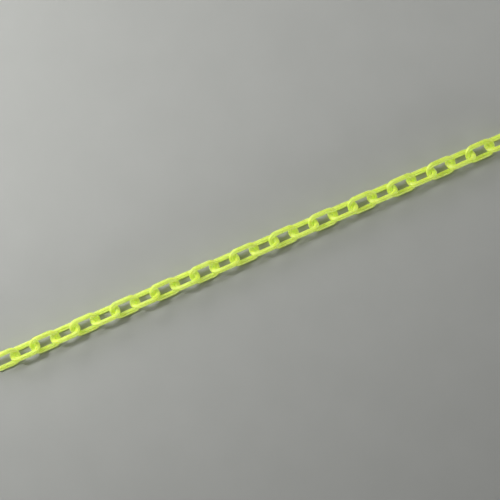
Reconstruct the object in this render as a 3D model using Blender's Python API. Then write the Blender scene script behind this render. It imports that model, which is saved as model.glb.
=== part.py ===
"""A straight run of plastic barrier chain, in metres, +Z up.

The chain lies along X on the plane Z = 0, with the middle of its length over the origin.
Every link is one closed moulded ring: two straight side bars joined by two rounded bows.
Each link is rolled a quarter turn about X from the one before it, and the first stands at
45 degrees, so that every link rests on one of its side bars. Each link hangs on the right
bow of the link before it and swings about that bow's crosswise axis, so the origin of a
link is the middle of the bow that it hangs on.
"""

import math

import bpy
from mathutils import Vector

# Driving dimensions, in metres.
LINK_COUNT = 26
PITCH = 0.026  # from one link to the next, pulled taut
PLAY = 0.0003  # gap left between two bows where they bear on each other
BAR_THICKNESS = 0.006  # of the moulded bar
BAR_WIDTH = 0.0062  # of the eight-sided bar that stands in for it, across its corners
BAR_SPACING = 0.0197  # between the centrelines of a link's two side bars
BEND_RADIUS = 0.008  # of the centreline where a side bar turns into a bow
FIRST_ROLL = math.radians(45)
ROLL_STEP = math.radians(90)

# How finely a link is faceted.
BAR_SIDES = 8
BEND_STEPS = 5  # straight pieces in each quarter turn

# Worked out from the driving dimensions.
BAR_TOUCH = BAR_THICKNESS + PLAY  # between the centrelines of two bows that bear on each other
LINK_LENGTH = PITCH + BAR_TOUCH  # between the centrelines of a link's two bows
HALF_LENGTH = LINK_LENGTH / 2
HALF_SPACING = BAR_SPACING / 2
FLAT_TO_CENTRE = BAR_WIDTH / 2 * math.cos(math.pi / BAR_SIDES)
PIVOT_TO_MIDDLE = HALF_LENGTH - BAR_TOUCH  # from a link's origin to its middle
HALF_HEIGHT = HALF_SPACING * math.sin(FIRST_ROLL) + FLAT_TO_CENTRE

NAME_WIDTH = 2  # digits in a link's number


def clear_scene():
    for obj in list(bpy.data.objects):
        bpy.data.objects.remove(obj, do_unlink=True)


def make_plastic():
    """Fluorescent yellow-green polyethylene with the dull gloss of a moulded surface."""
    plastic = bpy.data.materials.new("fluorescent_yellow_green_plastic")
    plastic.use_nodes = True
    shader = plastic.node_tree.nodes["Principled BSDF"]
    shader.inputs["Base Color"].default_value = (0.62, 0.74, 0.12, 1.0)
    shader.inputs["Roughness"].default_value = 0.42
    shader.inputs["Metallic"].default_value = 0.0
    return plastic


def quarter_turn(centre, start):
    """The points of a quarter circle of the bend radius, from the angle start."""
    step = math.radians(90) / BEND_STEPS
    return [
        centre + BEND_RADIUS * Vector((math.cos(start + i * step), math.sin(start + i * step)))
        for i in range(BEND_STEPS + 1)
    ]


def link_centreline():
    """The closed centreline of a link in its own XY plane, with the pivot at the origin."""
    bend_x = HALF_LENGTH - BEND_RADIUS
    bend_y = HALF_SPACING - BEND_RADIUS
    quadrants = ((1, 1), (-1, 1), (-1, -1), (1, -1))
    points = []
    for quadrant, (side_x, side_y) in enumerate(quadrants):
        centre = Vector((PIVOT_TO_MIDDLE + side_x * bend_x, side_y * bend_y))
        points += quarter_turn(centre, math.radians(90) * quadrant)
    return points


def make_link_curve():
    """The bar swept once round the centreline, its flats square to the link's plane."""
    curve = bpy.data.curves.new("link", "CURVE")
    curve.dimensions = "3D"
    curve.twist_mode = "Z_UP"
    curve.bevel_depth = BAR_WIDTH / 2
    curve.bevel_resolution = (BAR_SIDES - 4) // 2
    spline = curve.splines.new("POLY")
    points = link_centreline()
    spline.points.add(len(points) - 1)
    for point, place in zip(spline.points, points):
        point.co = (place.x, place.y, 0.0, 1.0)
        point.tilt = math.pi / BAR_SIDES
    spline.use_cyclic_u = True
    spline.use_smooth = True
    return curve


def make_chain():
    """Each link hangs on the one before, one pitch along it and a quarter turn round."""
    collection = bpy.data.collections.new("plastic_barrier_chain")
    bpy.context.scene.collection.children.link(collection)
    curve = make_link_curve()
    curve.materials.append(make_plastic())
    before = None
    for number in range(1, LINK_COUNT + 1):
        link = bpy.data.objects.new(f"link_{number:0{NAME_WIDTH}d}", curve)
        collection.objects.link(link)
        if before is None:
            first_middle = -PITCH * (LINK_COUNT - 1) / 2
            link.location = (first_middle - PIVOT_TO_MIDDLE, 0.0, HALF_HEIGHT)
            link.rotation_euler = (FIRST_ROLL, 0.0, 0.0)
        else:
            link.parent = before
            link.location = (PITCH, 0.0, 0.0)
            link.rotation_euler = (ROLL_STEP, 0.0, 0.0)
        before = link


clear_scene()
make_chain()
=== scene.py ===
"""The looks of a run of plastic barrier chain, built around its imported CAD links, in metres.

Each packed link is replaced by a finely modelled one of the same size in the same place.
A link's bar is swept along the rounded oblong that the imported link's box gives. Chain like
this is moulded already linked, in one straight line, by two mould halves that part sideways.
Its parting line therefore runs along the top and bottom of every side bar of the chain as it
lies, and winds from there to the tips of the bows. The bar has draft on both sides of it, a
thin line of flash along it, and the broken-off gate of the mould on its raised side bar.
"""

import math

import bpy
import numpy as np
from mathutils import Matrix, Vector


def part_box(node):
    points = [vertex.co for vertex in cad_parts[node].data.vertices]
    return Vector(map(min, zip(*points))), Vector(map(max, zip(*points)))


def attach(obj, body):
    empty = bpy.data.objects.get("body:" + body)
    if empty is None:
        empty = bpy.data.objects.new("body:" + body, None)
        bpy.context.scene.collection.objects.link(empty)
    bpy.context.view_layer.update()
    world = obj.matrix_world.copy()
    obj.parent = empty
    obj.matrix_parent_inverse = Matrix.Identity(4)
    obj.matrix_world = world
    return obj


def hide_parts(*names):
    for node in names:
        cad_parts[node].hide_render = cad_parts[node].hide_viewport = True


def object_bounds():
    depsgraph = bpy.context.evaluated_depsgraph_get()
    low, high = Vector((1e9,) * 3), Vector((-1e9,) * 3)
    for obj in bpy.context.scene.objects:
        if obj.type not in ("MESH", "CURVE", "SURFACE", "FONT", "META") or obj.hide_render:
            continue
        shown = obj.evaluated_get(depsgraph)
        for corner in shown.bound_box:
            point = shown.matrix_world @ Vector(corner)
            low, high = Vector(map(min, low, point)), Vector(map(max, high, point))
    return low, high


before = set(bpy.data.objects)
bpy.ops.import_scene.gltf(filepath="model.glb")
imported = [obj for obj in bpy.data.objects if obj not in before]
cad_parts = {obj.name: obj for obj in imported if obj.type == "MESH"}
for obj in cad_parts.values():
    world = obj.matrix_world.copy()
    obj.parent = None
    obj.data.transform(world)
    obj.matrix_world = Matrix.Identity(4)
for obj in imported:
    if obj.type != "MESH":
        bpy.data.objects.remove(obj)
cad_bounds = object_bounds()

MM = 0.001

# The bar of a link, in metres.
BAR_SPACING = 19.7 * MM  # between the centrelines of the two side bars
BEND_RADIUS = 8.0 * MM  # of the centreline where a side bar turns into a bow
BEARING_LENGTH = 6.3 * MM  # between the centrelines of two bows that bear on each other
HALF_ALONG_PARTING = 3.05 * MM  # from the centreline to the parting line
HALF_ACROSS_PARTING = 3.05 * MM  # from the centreline to the side of the mould
DRAFT_DROP = 0.22 * MM  # how far draft lowers the bar's shoulders
FLASH_HEIGHT = 0.05 * MM
FLASH_WIDTH = 0.12 * MM
GATE_RADIUS = 0.6 * MM  # of the broken-off gate
GATE_HEIGHT = 0.14 * MM
GATE_EDGE = 8  # the power that makes the gate's top flat and its edge steep

# How finely a link is meshed.
BEND_STEPS = 24
SIDE_STEPS = 14  # in each half of a side bar
GATE_STEPS = 7  # on each side of the gate, within GATE_REACH
GATE_REACH = 1.5 * GATE_RADIUS
TIP_STEPS = 6
SECTION_STEPS = 18  # from the parting line round one side to the parting line again
STEP_CROWDING = 0.6  # from 0 to 1: how much closer together they lie near the parting line

PAINTED_GLOW = (0.78, 1.00, 0.13, 1.0)  # painted glow: light the plastic gives off at the same strength under any lamps, standing in for the dye's fluorescence; it also lightens the plastic's shaded sides
FLOW_STRETCH = 12  # how much longer than wide the plastic's flow marks are
PALE_FLASH = 2.5 * FLASH_WIDTH  # how far the paler plastic reaches from the parting line
LINK_SHIFT = 0.1  # between the places where two neighbouring links sample the noises

FLOOR_SIZE = 12.0
FLOOR_GAP = 0.25 * MM  # clears the flash under the links
HORIZON_BRIGHTNESS = 0.42
HORIZON_TOP = 0.12  # sine of the angle above the floor where the horizon has faded away

CAMERA_AZIMUTH = -23.88  # degrees about the vertical axis, from looking along +Y
CAMERA_ELEVATION = 83.3
CAMERA_DISTANCE = 1.93
VIEW_WIDTH = 0.601  # of the picture, at the chain
AIM_OFFSET = 0.005  # of the picture's middle, to the left of the chain's
SENSOR_WIDTH = 36.0  # in millimetres, as Blender's cameras have it


def link_names():
    return sorted(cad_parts)


def pitch():
    """The distance from one link to the next."""
    first, second = link_names()[:2]
    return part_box(second)[0].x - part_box(first)[0].x


def half_length():
    """From a link's middle to the centreline of its bow."""
    return (pitch() + BEARING_LENGTH) / 2


def side_bar_places():
    """Places along a side bar from its middle, from -1 to 1 between its two bends."""
    half_bar = half_length() - BEND_RADIUS
    gate = GATE_REACH / half_bar
    near = np.linspace(0, gate, GATE_STEPS + 1)
    far = np.linspace(gate, 1, SIDE_STEPS + 1)[1:]
    half = np.concatenate([near, far])
    return np.concatenate([-half[:0:-1], half])


def centreline():
    """Points round a link in its own plane, about its middle, with each point's outward angle."""
    bend_x = half_length() - BEND_RADIUS
    bend_y = BAR_SPACING / 2 - BEND_RADIUS
    side_places = side_bar_places()
    tip_places = np.linspace(-1, 1, TIP_STEPS + 1)
    quarter = math.pi / 2
    points, angles = [], []
    for turn, (side_x, side_y) in enumerate(((1, 1), (-1, 1), (-1, -1), (1, -1))):
        centre = np.array([side_x * bend_x, side_y * bend_y])
        for step in range(BEND_STEPS + 1):
            angle = quarter * (turn + step / BEND_STEPS)
            outward = np.array([math.cos(angle), math.sin(angle)])
            points.append(centre + BEND_RADIUS * outward)
            angles.append(angle)
        on_side_bar = turn % 2 == 0
        for place in (side_places if on_side_bar else tip_places)[1:-1]:
            slide = -side_x * place * bend_x if on_side_bar else -side_y * place * bend_y
            middle = np.array([0.0, centre[1]]) if on_side_bar else np.array([centre[0], 0.0])
            direction = np.array([1.0, 0.0]) if on_side_bar else np.array([0.0, 1.0])
            points.append(middle + direction * slide + BEND_RADIUS * outward)
            angles.append(angle)
    return np.array(points), np.array(angles)


def section():
    """The bar's outline as pairs: along the direction of the parting line, and across it."""
    outline = []
    for side in (1, -1):
        for step in range(SECTION_STEPS):
            share = step / SECTION_STEPS
            eased = share - STEP_CROWDING * math.sin(2 * math.pi * share) / (2 * math.pi)
            turn = math.pi * eased
            across = HALF_ACROSS_PARTING * math.sin(turn)
            along = math.cos(turn) * (HALF_ALONG_PARTING - DRAFT_DROP * math.sin(turn))
            along += math.copysign(FLASH_HEIGHT, along) * math.exp(-((across / FLASH_WIDTH) ** 2))
            outline.append((along * side, across * side))
    return np.array(outline)


def link_mesh(name, parting_sense, shift):
    """One closed bar. parting_sense says which of a link's two faces its parting line winds to.

    The mesh keeps, for its material, where each point lies in the link and in the bar's
    section, both moved by the link's own shift, and how near the point is to the parting line,
    the gate and the bearing spots.
    """
    points, angles = centreline()
    along, across = section().T
    rings, around = len(points), len(along)
    outward = np.stack([np.cos(angles), np.sin(angles), 0 * angles], 1)[:, None]
    normal = np.array([0.0, 0.0, 1.0])
    wind = parting_sense * np.arctan(np.sin(angles))[:, None, None]
    parting = outward * np.cos(wind) + normal * np.sin(wind)
    sideways = normal * np.cos(wind) - outward * np.sin(wind)

    from_gate = np.hypot(points[:, :1], across) / GATE_RADIUS
    gate = np.where((points[:, 1:] > 0) & (along > 0), 1 / (1 + from_gate**GATE_EDGE), 0.0)
    offset = parting * (along + GATE_HEIGHT * gate)[..., None] + sideways * across[:, None]
    vertices = np.pad(points, ((0, 0), (0, 1)))[:, None] + offset

    inner = np.maximum(0, -(offset * outward).sum(2)) / HALF_ALONG_PARTING
    bearing = inner**3 * np.cos(angles)[:, None] ** 6  # the powers keep the spots small
    flash = np.broadcast_to(np.exp(-((across / PALE_FLASH) ** 2)), (rings, around))

    ring, corner = np.meshgrid(np.arange(rings), np.arange(around), indexing="ij")
    next_ring, next_corner = (ring + 1) % rings, (corner + 1) % around
    loop = ((ring, corner), (next_ring, corner), (next_ring, next_corner), (ring, next_corner))
    faces = np.stack([(r * around + c).ravel() for r, c in loop], 1)

    mesh = bpy.data.meshes.new(name)
    mesh.from_pydata(vertices.reshape(-1, 3).tolist(), [], faces.tolist())
    mesh.shade_smooth()
    slow = np.broadcast_to(points @ (1 / FLOW_STRETCH, 0.5 / FLOW_STRETCH), (around, rings)).T
    section_place = np.broadcast_to(section(), (rings, around, 2))
    flow = np.concatenate([section_place, slow[..., None]], 2)
    apart = shift * np.array([1.0, 0.7, 1.3])  # along an arbitrary direction
    for label, values in (("mould_place", vertices + apart), ("mould_flow", flow + apart)):
        attribute = mesh.attributes.new(label, "FLOAT_VECTOR", "POINT")
        attribute.data.foreach_set("vector", values.astype(np.float32).ravel())
    for label, values in (("parting", flash), ("gate", gate), ("bearing", bearing)):
        attribute = mesh.attributes.new(label, "FLOAT", "POINT")
        attribute.data.foreach_set("value", values.astype(np.float32).ravel())
    return mesh


def new_node(tree, kind, inputs=None, **settings):
    """A shader node. Each of its inputs is given as a value or as another node's output."""
    node = tree.nodes.new(kind)
    for key, value in settings.items():
        setattr(node, key, value)
    for key, value in (inputs or {}).items():
        if isinstance(value, bpy.types.NodeSocket):
            tree.links.new(value, node.inputs[key])
        else:
            node.inputs[key].default_value = value
    return node


def noise(tree, place, size, detail=2.0, distortion=0.0):
    """A noise whose blotches are about size across."""
    inputs = {"Vector": place, "Scale": 1 / size, "Detail": detail, "Distortion": distortion}
    return new_node(tree, "ShaderNodeTexNoise", inputs).outputs["Fac"]


def remap(tree, value, start, end, low, high):
    """Takes a value that runs from start to end to one that runs from low to high."""
    inputs = {"Value": value, "From Min": start, "From Max": end, "To Min": low, "To Max": high}
    return new_node(tree, "ShaderNodeMapRange", inputs).outputs["Result"]


def add(tree, first, second):
    inputs = {0: first, 1: second}
    return new_node(tree, "ShaderNodeMath", inputs, operation="ADD").outputs[0]


def scaled(tree, value, factor):
    inputs = {0: value, 1: factor}
    return new_node(tree, "ShaderNodeMath", inputs, operation="MULTIPLY").outputs[0]


def blend_colour(tree, share, first, second):
    """first where share is 0, second where it is 1. Each is a colour or a node's output."""
    inputs = {"Factor": share, 6: first, 7: second}
    return new_node(tree, "ShaderNodeMix", inputs, data_type="RGBA").outputs[2]


def attribute(tree, name, output="Fac"):
    node = new_node(tree, "ShaderNodeAttribute", attribute_name=name)
    return node.outputs[output]


def bump(tree, height, distance, normal=None):
    inputs = {"Height": height, "Distance": distance}
    if normal:
        inputs["Normal"] = normal
    return new_node(tree, "ShaderNodeBump", inputs).outputs["Normal"]


def plastic():
    """Fluorescent polyethylene: satin and translucent, paler where it is thin or scuffed, with a
    painted glow that stands in for its fluorescence and lightens its shaded sides.
    """
    material = bpy.data.materials.new("fluorescent_plastic")
    material.use_nodes = True
    tree = material.node_tree
    place = attribute(tree, "mould_place", "Vector")
    along_flow = attribute(tree, "mould_flow", "Vector")
    parting, gate, bearing = (attribute(tree, name) for name in ("parting", "gate", "bearing"))

    clouds = noise(tree, place, 11 * MM, 3.0, 0.6)
    streaks = noise(tree, along_flow, 1.4 * MM, 3.0, 0.4)
    scuffs = remap(tree, noise(tree, place, 2.6 * MM, 6.0), 0.54, 0.72, 0.0, 1.0)
    orange_peel = noise(tree, place, 0.7 * MM, 2.0)
    grain = noise(tree, place, 0.16 * MM, 1.0)

    deep, light = (0.560, 0.680, 0.086, 1), (0.622, 0.734, 0.126, 1)
    thin, chalky = (0.700, 0.800, 0.210, 1), (0.740, 0.800, 0.360, 1)
    colour = blend_colour(tree, remap(tree, clouds, 0.3, 0.7, 0.0, 1.0), deep, light)
    colour = blend_colour(tree, remap(tree, streaks, 0.45, 0.75, 0.0, 0.35), colour, thin)
    colour = blend_colour(tree, scaled(tree, parting, 0.45), colour, thin)
    colour = blend_colour(tree, scaled(tree, scuffs, 0.07), colour, chalky)
    colour = blend_colour(tree, scaled(tree, bearing, 0.30), colour, chalky)
    colour = blend_colour(tree, scaled(tree, gate, 0.35), colour, chalky)

    roughness = remap(tree, clouds, 0.3, 0.7, 0.24, 0.31)
    for share, gain in ((scuffs, 0.10), (bearing, 0.15), (gate, 0.25), (parting, 0.06)):
        roughness = add(tree, roughness, scaled(tree, share, gain))

    normal = bump(tree, orange_peel, 0.010 * MM)
    normal = bump(tree, streaks, 0.020 * MM, normal)
    normal = bump(tree, grain, 0.0015 * MM, normal)

    shader = tree.nodes["Principled BSDF"]
    for socket, output in (("Base Color", colour), ("Roughness", roughness), ("Normal", normal)):
        tree.links.new(output, shader.inputs[socket])
    shader.inputs["IOR"].default_value = 1.58
    shader.inputs["Specular IOR Level"].default_value = 0.58
    shader.inputs["Subsurface Weight"].default_value = 1.0
    shader.inputs["Subsurface Radius"].default_value = (0.9, 1.0, 0.25)
    shader.inputs["Subsurface Scale"].default_value = 5 * MM
    # painted glow: a constant emission in place of the dye's fluorescence, which also lightens
    # the plastic's shaded sides
    shader.inputs["Emission Color"].default_value = PAINTED_GLOW
    shader.inputs["Emission Strength"].default_value = 0.165
    return material


def make_links():
    material = plastic()
    for number, name in enumerate(link_names()):
        even = number % 2  # link_02, link_04 and so on lie a quarter turn from the others
        mesh = link_mesh(f"{name}_mesh", -1 if even else 1, number * LINK_SHIFT)
        mesh.materials.append(material)
        low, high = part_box(name)
        link = bpy.data.objects.new(f"{name}_moulded", mesh)
        bpy.context.scene.collection.objects.link(link)
        link.location = (low + high) / 2
        link.rotation_euler = (math.radians(135 if even else 45), 0, 0)
        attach(link, name)
        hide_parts(name)


def backdrop_paper():
    """Pale grey seamless paper, with a faint mottle and the grain of its fibres."""
    material = bpy.data.materials.new("backdrop_paper")
    material.use_nodes = True
    tree = material.node_tree
    place = new_node(tree, "ShaderNodeTexCoord").outputs["Object"]
    mottle = noise(tree, place, 60 * MM, 3.0)
    fibres = noise(tree, place, 0.8 * MM, 3.0)
    dull, pale = (0.420, 0.427, 0.405, 1), (0.440, 0.447, 0.425, 1)
    colour = blend_colour(tree, remap(tree, mottle, 0.3, 0.7, 0.0, 1.0), dull, pale)
    colour = blend_colour(tree, remap(tree, fibres, 0.3, 0.7, 0.0, 0.5), colour, pale)
    shader = tree.nodes["Principled BSDF"]
    tree.links.new(colour, shader.inputs["Base Color"])
    tree.links.new(remap(tree, fibres, 0.3, 0.7, 0.86, 0.94), shader.inputs["Roughness"])
    tree.links.new(bump(tree, fibres, 0.03 * MM), shader.inputs["Normal"])
    return material


def make_floor():
    """A plane just under the chain."""
    mesh = bpy.data.meshes.new("floor")
    half, height = FLOOR_SIZE / 2, -FLOOR_GAP
    corners = [(-half, -half), (half, -half), (half, half), (-half, half)]
    mesh.from_pydata([(x, y, height) for x, y in corners], [], [(0, 1, 2, 3)])
    mesh.materials.append(backdrop_paper())
    floor = bpy.data.objects.new("floor", mesh)
    bpy.context.scene.collection.objects.link(floor)


def camera_directions(azimuth, elevation):
    """Towards the camera, and its right and up, for a camera that looks at the origin."""
    a, e = math.radians(azimuth), math.radians(elevation)
    back = Vector((math.sin(a) * math.cos(e), -math.cos(a) * math.cos(e), math.sin(e)))
    right = Vector((math.cos(a), math.sin(a), 0.0))
    return back, right, back.cross(right)


def make_camera():
    back, right, up = camera_directions(CAMERA_AZIMUTH, CAMERA_ELEVATION)
    data = bpy.data.cameras.new("camera")
    data.sensor_width = SENSOR_WIDTH
    data.lens = SENSOR_WIDTH * CAMERA_DISTANCE / VIEW_WIDTH
    camera = bpy.data.objects.new("camera", data)
    bpy.context.scene.collection.objects.link(camera)
    low, high = cad_bounds
    target = (low + high) / 2 - right * AIM_OFFSET
    camera.location = target + back * CAMERA_DISTANCE
    camera.rotation_euler = Matrix((right, up, back)).transposed().to_euler()
    bpy.context.scene.camera = camera


def softbox(name, azimuth, tilt, distance, width, height, power):
    """A softbox that faces the chain's middle, with its power in watts.

    azimuth is clockwise from the top of the picture and tilt is from straight overhead, both
    in degrees. The softbox's height runs up and down, along its tilt.
    """
    _, right, _ = camera_directions(CAMERA_AZIMUTH, CAMERA_ELEVATION)
    up = Vector((0, 0, 1))
    sideways, lean = math.radians(azimuth), math.radians(tilt)
    level = up.cross(right) * math.cos(sideways) + right * math.sin(sideways)
    direction = level * math.sin(lean) + up * math.cos(lean)
    data = bpy.data.lights.new(name, "AREA")
    data.shape = "RECTANGLE"
    data.size = width
    data.size_y = height
    data.energy = power
    light = bpy.data.objects.new(name, data)
    bpy.context.scene.collection.objects.link(light)
    light.location = direction * distance
    light.rotation_euler = direction.to_track_quat("Z", "Y").to_euler()
    light.visible_camera = False


def make_horizon():
    """Pale walls far beyond the floor. They fade away upwards, so the lights do the lighting."""
    world = bpy.data.worlds.new("horizon")
    world.use_nodes = True
    tree = world.node_tree
    direction = new_node(tree, "ShaderNodeTexCoord").outputs["Generated"]
    height = new_node(tree, "ShaderNodeSeparateXYZ", {"Vector": direction}).outputs["Z"]
    strength = remap(tree, height, 0.0, HORIZON_TOP, HORIZON_BRIGHTNESS, 0.0)
    tree.nodes["Background"].inputs["Color"].default_value = (1, 1, 1, 1)
    tree.links.new(strength, tree.nodes["Background"].inputs["Strength"])
    bpy.context.scene.world = world


def make_lights():
    """A key above the chain, softboxes on its left and right, and strips near the floor."""
    softbox("key", -24, 26, 1.0, 0.44, 0.20, 1.55)
    softbox("left_key", -90, 45, 1.0, 0.12, 0.12, 3.2)
    softbox("left_bank", -50, 62, 1.1, 0.90, 0.35, 4.3)
    softbox("right_bank", 45, 50, 1.0, 0.40, 0.30, 1.3)
    softbox("left_strip", -95, 79, 5.0, 4.6, 1.0, 116.0)
    softbox("right_strip", 66, 79, 5.0, 4.6, 1.0, 60.0)
    softbox("front_strip", 156, 76, 5.0, 4.6, 1.0, 84.0)


make_links()
make_floor()
make_camera()
make_lights()
make_horizon()
bpy.context.scene.view_settings.view_transform = "Standard"
